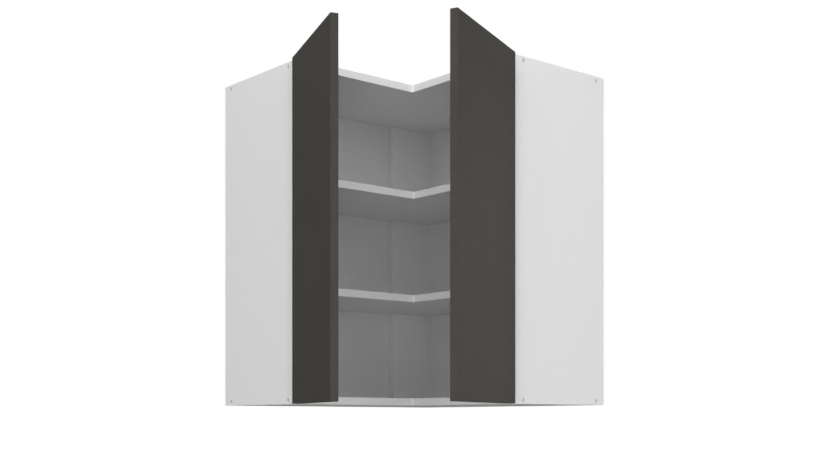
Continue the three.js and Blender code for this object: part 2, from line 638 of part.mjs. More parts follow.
/** The whole cabinet. */
function cornerWallCabinet() {
  const cabinet = new THREE.Group();
  addSharedBoards(cabinet);
  for (const leg of LEGS) {
    const frame = new THREE.Group();
    frame.rotation.z = leg.turn;
    frame.scale.y = leg.flip;
    cabinet.add(frame);
    addLegCarcass(frame, leg);
    addLegDoor(frame, leg);
  }
  return cabinet;
}

export default cornerWallCabinet();
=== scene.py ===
"""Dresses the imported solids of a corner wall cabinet: boards, fronts, hinges, fittings, studio and camera.

The frame's origin is the room corner at the carcass's underside, +Z is up. The right leg runs along +X on
the wall y = 0, and the left leg runs along -Y on the wall x = 0.
"""

from __future__ import annotations

import json
import logging
import math
from collections.abc import Callable, Sequence
from dataclasses import dataclass, field
from enum import Enum

import bmesh
import bpy
from mathutils import Matrix, Vector

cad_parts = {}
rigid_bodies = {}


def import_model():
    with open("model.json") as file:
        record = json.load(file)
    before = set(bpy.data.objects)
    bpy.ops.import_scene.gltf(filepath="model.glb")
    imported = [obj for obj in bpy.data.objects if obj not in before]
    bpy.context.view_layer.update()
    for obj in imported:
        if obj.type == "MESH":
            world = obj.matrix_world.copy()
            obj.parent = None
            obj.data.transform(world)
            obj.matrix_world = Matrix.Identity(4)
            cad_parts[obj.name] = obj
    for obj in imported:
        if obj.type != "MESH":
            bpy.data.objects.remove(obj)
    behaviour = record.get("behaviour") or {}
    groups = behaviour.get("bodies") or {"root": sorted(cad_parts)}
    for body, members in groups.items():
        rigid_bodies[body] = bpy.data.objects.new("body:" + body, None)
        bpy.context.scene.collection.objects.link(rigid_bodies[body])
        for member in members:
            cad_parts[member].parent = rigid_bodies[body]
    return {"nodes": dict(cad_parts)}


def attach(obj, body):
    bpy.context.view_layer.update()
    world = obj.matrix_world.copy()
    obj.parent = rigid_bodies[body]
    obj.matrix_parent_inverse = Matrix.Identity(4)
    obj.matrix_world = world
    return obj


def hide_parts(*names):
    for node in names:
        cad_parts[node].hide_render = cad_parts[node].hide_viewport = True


LOG = logging.getLogger("corner_cabinet")
MM = 0.001
LEVELS = ("lower", "upper")
WHITE = "#FFFFFF"

WELD_M = 1e-6  # corners closer than this are one
FLAT_DEGREES = 0.5  # faces that turn by less than this are one face
SHARP_DEGREES = 32.0  # a solid's edges that turn by more than this are rounded
CREASE_DEGREES = 38.0  # a made form's edges that turn by more than this stay sharp
EDGE_STEPS = 3  # faces across a rounded edge
FACING = 0.7  # a normal that reaches this far along an axis faces that way
LEANING = 0.5  # and one that reaches this far leans that way
NOISE_LOW, NOISE_HIGH = 0.3, 0.7  # most of a noise lies between these
MIX_SHARE, MIX_FIRST, MIX_SECOND, MIX_COLOUR = 0, 6, 7, 2  # the sockets for colours of a Mix node

Socket = bpy.types.NodeSocket
Point2 = tuple[float, float]
Point3 = tuple[float, float, float]


def linear(colour: str) -> tuple[float, float, float, float]:
    """Turns an sRGB hex colour into linear light.

    Args:
        colour: Six hex digits after a hash sign.

    Returns:
        Red, green, blue and an alpha of one.
    """
    channels = [int(colour[i : i + 2], 16) / 255 for i in (1, 3, 5)]
    toned = [c / 12.92 if c <= 0.04045 else ((c + 0.055) / 1.055) ** 2.4 for c in channels]
    return (*toned, 1.0)


def add_node(
    tree: bpy.types.NodeTree, kind: str, inputs: dict | None = None, **settings: object
) -> bpy.types.Node:
    """Adds a node with its settings and its inputs.

    Args:
        tree: The node tree it goes into.
        kind: The node's type name.
        inputs: Input names or numbers, each with a value or with the socket it is linked from.
        **settings: The node's own properties.

    Returns:
        The new node.
    """
    node = tree.nodes.new(kind)
    for name, value in settings.items():
        setattr(node, name, value)
    for name, value in (inputs or {}).items():
        if isinstance(value, Socket):
            tree.links.new(value, node.inputs[name])
        else:
            node.inputs[name].default_value = value
    return node


# ---------------------------------------------------------------- finishes


@dataclass
class Surface:
    """The node tree of one material, with the patterns that the finishes share."""

    name: str
    material: bpy.types.Material = field(init=False)
    tree: bpy.types.NodeTree = field(init=False)
    shader: bpy.types.Node = field(init=False)
    place: Socket = field(init=False)

    def __post_init__(self) -> None:
        """Makes the material with a shader and an output."""
        self.material = bpy.data.materials.new(self.name)
        self.material.use_nodes = True
        self.tree = self.material.node_tree
        self.tree.nodes.clear()
        self.shader = add_node(self.tree, "ShaderNodeBsdfPrincipled")
        add_node(self.tree, "ShaderNodeOutputMaterial", {"Surface": self.shader.outputs[0]})
        self.place = add_node(self.tree, "ShaderNodeTexCoord").outputs["Object"]

    def noise(self, size_mm: float, detail: float = 2.0, stretch: Sequence[float] = (1, 1, 1)) -> Socket:
        """Makes a noise whose grain has a real size.

        Args:
            size_mm: The size of a grain.
            detail: How many finer layers it has.
            stretch: How much denser it is along each axis.

        Returns:
            The noise, mostly from NOISE_LOW to NOISE_HIGH.
        """
        place = add_node(self.tree, "ShaderNodeMapping", {"Vector": self.place, "Scale": stretch})
        inputs = {"Vector": place.outputs[0], "Scale": 1 / (size_mm * MM), "Detail": detail}
        return add_node(self.tree, "ShaderNodeTexNoise", inputs).outputs[0]

    def cells(self, size_mm: float, order: float = 1.0) -> bpy.types.Node:
        """Makes cells of a real size.

        Args:
            size_mm: The distance between two cells.
            order: How far the cells leave a square grid, from 0 to 1.

        Returns:
            The node, whose outputs are the distance to a cell's middle and its own colour.
        """
        inputs = {"Vector": self.place, "Scale": 1 / (size_mm * MM), "Randomness": order}
        return add_node(self.tree, "ShaderNodeTexVoronoi", inputs)

    def spread(self, value: Socket, low: float = 0.0, high: float = 1.0) -> Socket:
        """Spreads the middle of a noise between two numbers.

        Args:
            value: The noise.
            low: What NOISE_LOW becomes.
            high: What NOISE_HIGH becomes.

        Returns:
            The spread value.
        """
        middle = {"Value": value, "From Min": NOISE_LOW, "From Max": NOISE_HIGH}
        inputs = {**middle, "To Min": low, "To Max": high}
        return add_node(self.tree, "ShaderNodeMapRange", inputs).outputs[0]

    def clouds(self, size_mm: float) -> Socket:
        """Returns slow clouds of a real size, from 0 to 1."""
        return self.spread(self.noise(size_mm))

    def tint(self, share: Socket, first: str, second: str) -> Socket:
        """Mixes two hex colours.

        Args:
            share: How much of the second.
            first: The first colour.
            second: The second colour.

        Returns:
            The mixed colour.
        """
        inputs = {MIX_SHARE: share, MIX_FIRST: linear(first), MIX_SECOND: linear(second)}
        return add_node(self.tree, "ShaderNodeMix", inputs, data_type="RGBA").outputs[MIX_COLOUR]

    def relief(self, height: Socket, depth_mm: float) -> None:
        """Lets a height pattern dent the surface by a real depth.

        Args:
            height: The pattern.
            depth_mm: How deep it dents.
        """
        inputs = {"Height": height, "Distance": depth_mm * MM}
        dented = add_node(self.tree, "ShaderNodeBump", inputs).outputs[0]
        self.tree.links.new(dented, self.shader.inputs["Normal"])

    def feed(self, **inputs: Socket | float | tuple) -> bpy.types.Material:
        """Sets the shader's inputs.

        Args:
            **inputs: The inputs' names, with underscores for their spaces, and what goes into each.

        Returns:
            The finished material.
        """
        for name, value in inputs.items():
            socket = self.shader.inputs[name.replace("_", " ")]
            if isinstance(value, Socket):
                self.tree.links.new(value, socket)
            else:
                socket.default_value = value
        return self.material


@dataclass(frozen=True)
class MelamineFilm:
    """Melamine film pressed on chipboard: a hard, neutral white with a very faint pearl in its gloss."""

    name: str = "white_melamine_film"
    white: str = "#E1E1E1"
    cloud: str = "#E0E0E0"
    cloud_mm: float = 55.0
    pearl_mm: float = 1.6  # the real pearl is about 0.3 mm, drawn as coarse as it needs to show
    pearl_depth_mm: float = 0.012
    roughness: tuple = (0.42, 0.5)
    gloss: float = 0.3

    def build(self) -> bpy.types.Material:
        """Makes the material.

        Returns:
            The finished material.
        """
        surface = Surface(self.name)
        pearl = surface.noise(self.pearl_mm, detail=1.0)
        surface.relief(pearl, self.pearl_depth_mm)
        cloud = surface.clouds(self.cloud_mm)
        return surface.feed(
            Base_Color=surface.tint(cloud, self.white, self.cloud),
            Roughness=surface.spread(pearl, *self.roughness),
            Specular_IOR_Level=self.gloss,
        )


@dataclass(frozen=True)
class EdgeBand:
    """Extruded ABS band on the boards' front edges: smoother than the film, with faint lines along it."""

    name: str = "white_abs_edge_band"
    white: str = "#E1E1E1"
    streak: str = "#DDDDDD"
    streak_mm: float = 1.2  # the real lines are about 0.3 mm apart, drawn as coarse as they need to show
    streak_depth_mm: float = 0.008
    along: tuple = (0.05, 0.05, 1.0)  # the lines lie level, so they are dense in height only
    roughness: tuple = (0.34, 0.42)
    gloss: float = 0.3

    def build(self) -> bpy.types.Material:
        """Makes the material.

        Returns:
            The finished material.
        """
        surface = Surface(self.name)
        streaks = surface.noise(self.streak_mm, detail=2.0, stretch=self.along)
        surface.relief(streaks, self.streak_depth_mm)
        return surface.feed(
            Base_Color=surface.tint(surface.spread(streaks), self.white, self.streak),
            Roughness=surface.spread(streaks, *self.roughness),
            Specular_IOR_Level=self.gloss,
        )


@dataclass(frozen=True)
class RawChipboard:
    """Sawn chipboard: pressed wood chips from straw to dark brown, with small open pores."""

    name: str = "raw_chipboard"
    straw: str = "#CDB084"
    brown: str = "#8B6A43"
    chip_mm: float = 3.0
    dust_mm: float = 0.8
    depth_mm: float = 0.25
    roughness: float = 0.92
    gloss: float = 0.15

    def build(self) -> bpy.types.Material:
        """Makes the material.

        Returns:
            The finished material.
        """
        surface = Surface(self.name)
        chips = surface.cells(self.chip_mm)
        dust = surface.noise(self.dust_mm, detail=4.0)
        tone = add_node(surface.tree, "ShaderNodeSeparateColor", {0: chips.outputs["Color"]})
        mixed = add_node(
            surface.tree, "ShaderNodeMath", {0: tone.outputs[0], 1: dust}, operation="MULTIPLY"
        )
        surface.relief(dust, self.depth_mm)
        return surface.feed(
            Base_Color=surface.tint(mixed.outputs[0], self.straw, self.brown),
            Roughness=self.roughness,
            Specular_IOR_Level=self.gloss,
        )


@dataclass(frozen=True)
class LacqueredHardboard:
    """The back boards' inner face: thin white lacquer rolled on pressed fibre, matter than the film."""

    name: str = "white_lacquered_hardboard"
    white: str = "#E0E0E0"
    cloud: str = "#DCDCDC"
    cloud_mm: float = 70.0
    fibre_mm: float = 1.4
    depth_mm: float = 0.015
    roughness: tuple = (0.55, 0.62)
    gloss: float = 0.25

    def build(self) -> bpy.types.Material:
        """Makes the material.

        Returns:
            The finished material.
        """
        surface = Surface(self.name)
        fibre = surface.noise(self.fibre_mm, detail=3.0)
        surface.relief(fibre, self.depth_mm)
        cloud = surface.clouds(self.cloud_mm)
        return surface.feed(
            Base_Color=surface.tint(cloud, self.white, self.cloud),
            Roughness=surface.spread(fibre, *self.roughness),
            Specular_IOR_Level=self.gloss,
        )


@dataclass(frozen=True)
class ScreenPrintedFibre:
    """The back boards' rear face: brown pressed fibre that carries the print of the press's wire screen."""

    name: str = "brown_pressed_fibre"
    light: str = "#B5906A"
    dark: str = "#94714C"
    fibre_mm: float = 2.4
    mesh_mm: float = 2.0
    depth_mm: float = 0.12
    roughness: tuple = (0.8, 0.9)
    gloss: float = 0.2

    def build(self) -> bpy.types.Material:
        """Makes the material.

        Returns:
            The finished material.
        """
        surface = Surface(self.name)
        fibre = surface.noise(self.fibre_mm, detail=5.0)
        surface.relief(surface.cells(self.mesh_mm, order=0.0).outputs["Distance"], self.depth_mm)
        return surface.feed(
            Base_Color=surface.tint(surface.spread(fibre), self.light, self.dark),
            Roughness=surface.spread(fibre, *self.roughness),
            Specular_IOR_Level=self.gloss,
        )


@dataclass(frozen=True)
class MattLacquer:
    """Graphite lacquer sprayed on fibreboard: an even dark colour with the faint swell of the spray."""

    name: str = "graphite_matt_lacquer"
    graphite: str = "#44423D"
    cloud: str = "#42403B"
    cloud_mm: float = 90.0
    swell_mm: float = 3.5
    swell_depth_mm: float = 0.01
    roughness: tuple = (0.5, 0.56)
    gloss: float = 0.01

    def build(self) -> bpy.types.Material:
        """Makes the material.

        Returns:
            The finished material.
        """
        surface = Surface(self.name)
        swell = surface.noise(self.swell_mm, detail=1.0)
        surface.relief(swell, self.swell_depth_mm)
        cloud = surface.clouds(self.cloud_mm)
        return surface.feed(
            Base_Color=surface.tint(cloud, self.graphite, self.cloud),
            Roughness=surface.spread(swell, *self.roughness),
            Specular_IOR_Level=self.gloss,
        )


@dataclass(frozen=True)
class PlatedSteel:
    """Pressed steel under thin plating, with the fine lines that the press leaves along its height."""

    name: str
    bright: str
    dull: str
    roughness: tuple = (0.24, 0.38)
    line_mm: float = 0.4  # the real lines are about 0.1 mm apart, drawn as coarse as they need to show
    line_depth_mm: float = 0.006
    along: tuple = (1.0, 1.0, 0.1)  # the lines stand upright, so they are sparse in height
    cloud_mm: float = 5.0

    def build(self) -> bpy.types.Material:
        """Makes the material.

        Returns:
            The finished material.
        """
        surface = Surface(self.name)
        lines = surface.noise(self.line_mm, detail=3.0, stretch=self.along)
        surface.relief(lines, self.line_depth_mm)
        cloud = surface.clouds(self.cloud_mm)
        return surface.feed(
            Base_Color=surface.tint(cloud, self.bright, self.dull),
            Metallic=1.0,
            Roughness=surface.spread(lines, *self.roughness),
        )


@dataclass(frozen=True)
class MouldedPolyamide:
    """White polyamide from a spark-eroded mould: an even satin grain."""

    name: str = "white_moulded_polyamide"
    white: str = "#E3E3DF"
    flow: str = "#DADAD5"
    flow_mm: float = 14.0
    grain_mm: float = 0.7  # the real grain is about 0.1 mm, drawn as coarse as it needs to show
    grain_depth_mm: float = 0.03
    roughness: tuple = (0.45, 0.55)
    refraction: float = 1.53

    def build(self) -> bpy.types.Material:
        """Makes the material.

        Returns:
            The finished material.
        """
        surface = Surface(self.name)
        grain = surface.noise(self.grain_mm, detail=2.0)
        surface.relief(grain, self.grain_depth_mm)
        flow = surface.clouds(self.flow_mm)
        return surface.feed(
            Base_Color=surface.tint(flow, self.white, self.flow),
            Roughness=surface.spread(grain, *self.roughness),
            IOR=self.refraction,
        )


@dataclass(frozen=True)
class ClearSilicone:
    """Clear silicone from a smooth mould: light goes through it, a little clouded."""

    name: str = "clear_silicone"
    clear: str = "#F2F2EE"
    cloud: str = "#E4E4DE"
    cloud_mm: float = 2.5
    cloud_depth_mm: float = 0.02
    roughness: tuple = (0.2, 0.3)
    clearness: float = 0.6
    refraction: float = 1.41

    def build(self) -> bpy.types.Material:
        """Makes the material.

        Returns:
            The finished material.
        """
        surface = Surface(self.name)
        cloud = surface.noise(self.cloud_mm)
        surface.relief(cloud, self.cloud_depth_mm)
        return surface.feed(
            Base_Color=surface.tint(surface.spread(cloud), self.clear, self.cloud),
            Roughness=surface.spread(cloud, *self.roughness),
            Transmission_Weight=self.clearness,
            IOR=self.refraction,
        )


@dataclass
class Palette:
    """Every finish of the cabinet, made once and shared."""

    film: bpy.types.Material = field(init=False)
    band: bpy.types.Material = field(init=False)
    chipboard: bpy.types.Material = field(init=False)
    hardboard: bpy.types.Material = field(init=False)
    fibre: bpy.types.Material = field(init=False)
    lacquer: bpy.types.Material = field(init=False)
    nickel: bpy.types.Material = field(init=False)
    zinc: bpy.types.Material = field(init=False)
    bright_zinc: bpy.types.Material = field(init=False)
    polyamide: bpy.types.Material = field(init=False)
    silicone: bpy.types.Material = field(init=False)

    def __post_init__(self) -> None:
        """Builds the materials."""
        self.film = MelamineFilm().build()
        self.band = EdgeBand().build()
        self.chipboard = RawChipboard().build()
        self.hardboard = LacqueredHardboard().build()
        self.fibre = ScreenPrintedFibre().build()
        self.lacquer = MattLacquer().build()
        self.nickel = PlatedSteel("nickel_plated_steel", "#CFCBC2", "#C2BEB4").build()
        self.zinc = PlatedSteel("zinc_plated_steel", "#C3C6C9", "#B4B8BD", (0.3, 0.45)).build()
        screw_finish = PlatedSteel("bright_zinc_plated_screw_steel", "#D0D0CE", "#C8C8C6", (0.5, 0.62))
        self.bright_zinc = screw_finish.build()
        self.polyamide = MouldedPolyamide().build()
        self.silicone = ClearSilicone().build()


# ---------------------------------------------------------------- where things are


class Side(Enum):
    """The cabinet's two legs."""

    LEFT = "left"
    RIGHT = "right"


@dataclass(frozen=True)
class Leg:
    """One leg's own frame in millimetres: s along the wall from the room corner, q out from it, z up.

    The hinge's pivots are given with the door closed, as in the solids. Each inset says how far a pivot lies
    in from the leg's outer end, and how far behind the carcass's front edges.
    """

    side: Side
    opening_degrees: float
    length: float = 600.0
    depth: float = 288.0
    height: float = 720.0
    door_gap: float = 2.0  # between the closed door and the carcass
    arm_pivot_inset: Point2 = (28.0, 10.0)
    knee_inset: Point2 = (60.0, 20.0)
    cup_pin_inset: Point2 = (21.5, -7.0)
    knee_share: float = 0.8  # the knee folds by this share of the door's turn, and the cup turns back by it
    hinge_margins: Point2 = (100.5, 106.0)  # hinge centres, from the carcass's underside and from its top

    @property
    def name(self) -> str:
        """The leg's name in the nodes and bodies."""
        return self.side.value

    @property
    def arm_pivot(self) -> Point2:
        """The pivot between arm and first link."""
        return self.inset(*self.arm_pivot_inset)

    @property
    def knee(self) -> Point2:
        """The pivot between the two links."""
        return self.inset(*self.knee_inset)

    @property
    def cup_pin(self) -> Point2:
        """The pivot between second link and cup."""
        return self.inset(*self.cup_pin_inset)

    @property
    def hinge_heights(self) -> Point2:
        """The heights of the hinges' centres, the lower one first."""
        return self.hinge_margins[0], self.height - self.hinge_margins[1]

    def inset(self, from_end: float, from_front: float) -> Point2:
        """Returns the point that lies in from the leg's outer end and behind the carcass's front edges."""
        return self.length - from_end, self.depth - from_front

    def carcass(self) -> Matrix:
        """Returns the way from the leg's millimetres to the cabinet's metres."""
        if self.side is Side.LEFT:
            rows = ((0, 1, 0, 0), (-1, 0, 0, 0), (0, 0, 1, 0), (0, 0, 0, 1))
        else:
            rows = ((1, 0, 0, 0), (0, -1, 0, 0), (0, 0, 1, 0), (0, 0, 0, 1))
        return Matrix.Scale(MM, 4) @ Matrix(rows)

    def _turned(self, pivot: Point2, degrees: float) -> Matrix:
        """Returns a turn about an upright pivot."""
        there = Matrix.Translation((*pivot, 0))
        return there @ Matrix.Rotation(-math.radians(degrees), 4, "Z") @ there.inverted()

    def swing(self) -> Matrix:
        """Returns the place of the first links, as the door stands open."""
        return self.carcass() @ self._turned(self.arm_pivot, self.opening_degrees)

    def knee_link(self) -> Matrix:
        """Returns the place of the second links, as the door stands open."""
        return self.swing() @ self._turned(self.knee, -self.knee_share * self.opening_degrees)

    def leaf(self) -> Matrix:
        """Returns the place of the door, as it stands open."""
        return self.knee_link() @ self._turned(self.cup_pin, self.knee_share * self.opening_degrees)


LEGS = (Leg(Side.LEFT, 110.6), Leg(Side.RIGHT, 113.9))


# ---------------------------------------------------------------- making and dressing meshes


def finish_mesh(
    work: bmesh.types.BMesh, name: str, materials: Sequence[bpy.types.Material]
) -> bpy.types.Object:
    """Turns a worked mesh into an object that is smooth up to its sharp edges.

    Args:
        work: The worked mesh, which is freed.
        name: The object's name.
        materials: Its materials, by the faces' own numbers.

    Returns:
        The object, in the scene.
    """
    for face in work.faces:
        face.smooth = True
    mesh = bpy.data.meshes.new(name)
    work.to_mesh(mesh)
    work.free()
    for material in materials:
        mesh.materials.append(material)
    piece = bpy.data.objects.new(name, mesh)
    bpy.context.collection.objects.link(piece)
    return piece


def apply_modifiers(piece: bpy.types.Object) -> None:
    """Leaves a piece with the mesh that its modifiers make, and with no modifier.

    Args:
        piece: The piece.
    """
    bpy.context.view_layer.update()
    ready = piece.evaluated_get(bpy.context.evaluated_depsgraph_get())
    made = bpy.data.meshes.new_from_object(ready)
    piece.modifiers.clear()
    piece.data = made


def round_edges(piece: bpy.types.Object, radius_mm: float) -> None:
    """Rounds a piece's sharp edges and keeps its flats flat.

    Args:
        piece: The piece.
        radius_mm: The edges' radius.
    """
    bevel = piece.modifiers.new("edges", "BEVEL")
    bevel.width = radius_mm * MM
    bevel.segments = EDGE_STEPS
    bevel.limit_method = "ANGLE"
    bevel.angle_limit = math.radians(SHARP_DEGREES)
    flats = piece.modifiers.new("flats", "WEIGHTED_NORMAL")
    flats.mode = "FACE_AREA"
    flats.weight = 100  # the most: a face's area alone counts
    apply_modifiers(piece)


def settle(piece: bpy.types.Object, body: str, replaced: str | None = None) -> None:
    """Lets a piece ride on its body and reports it.

    Args:
        piece: The piece.
        body: The body it moves with.
        replaced: The node that it stands for, if any.
    """
    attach(piece, body)
    if replaced:
        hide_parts(replaced)
    LOG.info("%-40s %5d faces on %s", piece.name, len(piece.data.polygons), body)


@dataclass(frozen=True)
class Seat:
    """Where a head of a screw, rivet or nail stands, in a leg's millimetres, and which way it points."""

    foot: Point3
    axis: Point3
    reach: float = 4.5  # from the axis, what belongs to a solid's own plain head
    heights: Point2 = (0.1, 1.5)  # and from the foot
    pressed_height: float = 0.02  # what is left of that head

    def press(self, work: bmesh.types.BMesh, place: Matrix) -> None:
        """Presses a solid's own plain head down to its seat, so that a finer head can stand there.

        Args:
            work: The solid's mesh, in the cabinet's metres.
            place: The way from the leg's millimetres to the cabinet's metres.
        """
        foot = place @ Vector(self.foot)
        axis = (place.to_3x3() @ Vector(self.axis)).normalized()
        for vert in work.verts:
            offset = vert.co - foot
            height = offset.dot(axis)
            near = (offset - axis * height).length < self.reach * MM
            if near and self.heights[0] * MM < height < self.heights[1] * MM:
                vert.co -= axis * (height - self.pressed_height * MM)


@dataclass
class DressedSolid:
    """A node's own solid with rounded edges and its finishes."""

    node: str
    body: str
    slot: str
    materials: Sequence[bpy.types.Material]
    radius_mm: float = 0.25
    sort: Callable[[Vector, Vector], int] | None = None
    seats: Sequence[Seat] = ()
    place: Matrix = field(default_factory=Matrix)

    def build(self, source: bpy.types.Object) -> bpy.types.Object:
        """Makes the piece in its node's place.

        Args:
            source: The node's object.

        Returns:
            The new piece.
        """
        work = bmesh.new()
        work.from_mesh(source.data)
        bmesh.ops.remove_doubles(work, verts=work.verts, dist=WELD_M)
        for seat in self.seats:
            seat.press(work, self.place)
        flat = math.radians(FLAT_DEGREES)
        bmesh.ops.dissolve_limit(work, angle_limit=flat, verts=work.verts, edges=work.edges)
        for face in work.faces:
            face.material_index = 0
            if self.sort:
                face.material_index = self.sort(face.calc_center_median() / MM, face.normal)
        piece = finish_mesh(work, f"{self.node}_dressed", self.materials)
        round_edges(piece, self.radius_mm)
        settle(piece, self.body, self.node)
        return piece


@dataclass
class Blank:
    """A mesh in the making, in millimetres, from turned, cut-out and ready forms."""

    work: bmesh.types.BMesh = field(default_factory=bmesh.new)

    def turned(self, profile: Sequence[Point2], centre: Vector, axis: Vector, steps: int) -> None:
        """Adds a turned form.

        Args:
            profile: Radii and heights along the axis, from one end on the axis to the other.
            centre: Where height 0 is.
            axis: The axis, of length one.
            steps: How many faces go round.
        """
        across = axis.orthogonal().normalized()
        other = axis.cross(across)
        rings = []
        for radius, height in profile:
            middle = centre + axis * height
            count = steps if radius else 1
            turns = [math.tau * i / steps for i in range(count)]
            spokes = [across * math.cos(t) + other * math.sin(t) for t in turns]
            rings.append([self.work.verts.new(middle + spoke * radius) for spoke in spokes])
        for low, high in zip(rings, rings[1:]):
            for i in range(steps):
                corners = [ring[(i + step) % len(ring)] for ring, step in self._round(low, high)]
                self.work.faces.new(list(dict.fromkeys(corners)))

    @staticmethod
    def _round(low: list, high: list) -> tuple:
        """Returns the way round one face between two rings."""
        return (low, 0), (low, 1), (high, 1), (high, 0)

    def layers(self, outlines: Sequence[Sequence[Vector]]) -> None:
        """Adds a form with flat ends that runs through outlines of equally many corners.

        Args:
            outlines: The outlines, from one end to the other.
        """
        rings = [[self.work.verts.new(corner) for corner in outline] for outline in outlines]
        self.work.faces.new(rings[0])
        self.work.faces.new(list(reversed(rings[-1])))
        for near, far in zip(rings, rings[1:]):
            for i, corner in enumerate(near):
                after = (i + 1) % len(near)
                self.work.faces.new([corner, far[i], far[after], near[after]])

    def stamped(self, form: bpy.types.Mesh, seat: Seat) -> None:
        """Adds a copy of a form that stands upright on the origin.

        Args:
            form: The ready mesh, in millimetres.
            seat: Where it stands.
        """
        upright = Vector((0, 0, 1)).rotation_difference(Vector(seat.axis)).to_matrix().to_4x4()
        before = len(self.work.verts)
        self.work.from_mesh(form)
        self.work.verts.ensure_lookup_table()
        fresh = self.work.verts[before:]
        bmesh.ops.transform(self.work, matrix=Matrix.Translation(seat.foot) @ upright, verts=fresh)

    def placed(
        self, name: str, place: Matrix, materials: Sequence[bpy.types.Material]
    ) -> bpy.types.Object:
        """Finishes the mesh in its place.

        Args:
            name: The object's name.
            place: The way from its millimetres to the cabinet's metres.
            materials: Its materials.

        Returns:
            The object.
        """
        self.work.transform(place)
        bmesh.ops.recalc_face_normals(self.work, faces=self.work.faces)
        piece = finish_mesh(self.work, name, materials)
        piece.data.set_sharp_from_angle(angle=math.radians(CREASE_DEGREES))
        return piece


@dataclass
class Heads:
    """The heads of small screws, rivets and nails, each made once and then stamped where it is needed.

    Sizes are in millimetres.
    """

    screw_radius: float = 3.6
    screw_height: float = 0.9
    cross_reach: float = 2.1
    cross_width: float = 0.85
    cross_depth: float = 0.7
    rivet_radius: float = 2.7
    rivet_height: float = 0.5
    nail_radius: float = 1.7
    nail_height: float = 0.15
    sunk: float = 0.3  # how far a head reaches into its seat
    dome_flat: float = 0.72  # where the dome starts to round, as a share of its radius
    dome_foot: float = 0.35  # the head's upright edge, as a share of its height
    dome_crown: float = 1.04  # the middle, as a share of the height
    dome_steps: int = 5
    round_steps: int = 32
    screw: bpy.types.Mesh = field(init=False)
    rivet: bpy.types.Mesh = field(init=False)
    nail: bpy.types.Mesh = field(init=False)

    def __post_init__(self) -> None:
        """Makes the three heads."""
        self.screw = self._crossed(self._domed(self.screw_radius, self.screw_height))
        self.rivet = self._domed(self.rivet_radius, self.rivet_height).data
        self.nail = self._domed(self.nail_radius, self.nail_height).data
        for head in [thing for thing in bpy.data.objects if thing.name.startswith("head_form")]:
            bpy.data.objects.remove(head)

    def _domed(self, radius: float, height: float) -> bpy.types.Object:
        """Turns a domed head that stands on the origin.

        Args:
            radius: The head's radius.
            height: The dome's height, apart from its crown.

        Returns:
            The head.
        """
        dome = []
        for i in range(self.dome_steps + 1):
            turn = math.pi / 2 * i / self.dome_steps
            out = self.dome_flat + (1 - self.dome_flat) * math.cos(turn)
            up = self.dome_foot + (1 - self.dome_foot) * math.sin(turn)
            dome.append((radius * out, height * up))
        blank = Blank()
        profile = [(0, -self.sunk), (radius, -self.sunk), *dome, (0, height * self.dome_crown)]
        blank.turned(profile, Vector(), Vector((0, 0, 1)), self.round_steps)
        return blank.placed("head_form", Matrix(), ())

    def _crossed(self, head: bpy.types.Object) -> bpy.types.Mesh:
        """Cuts a cross recess into a head.

        Args:
            head: The domed head.

        Returns:
            The crossed head's mesh.
        """
        cutter = Blank()
        half, reach = self.cross_width / 2, self.cross_reach
        quarter = ((reach, -half), (reach, half), (half, half))
        floor = self.screw_height - self.cross_depth
        outline = []
        for turn in range(4):
            spin = Matrix.Rotation(math.pi / 2 * turn, 3, "Z")
            outline += [spin @ Vector((x, y, floor)) for x, y in quarter]
        cutter.layers([outline, [corner + Vector((0, 0, self.screw_height)) for corner in outline]])
        cut = head.modifiers.new("cross", "BOOLEAN")
        cut.operation = "DIFFERENCE"
        cut.object = cutter.placed("head_form_cutter", Matrix(), ())
        apply_modifiers(head)
        return head.data


# ---------------------------------------------------------------- the cabinet's sub-assemblies


class BoardFace(Enum):
    """What a face of a board is covered with, by the board's material number."""

    FILM = 0
    BAND = 1
    RAW = 2


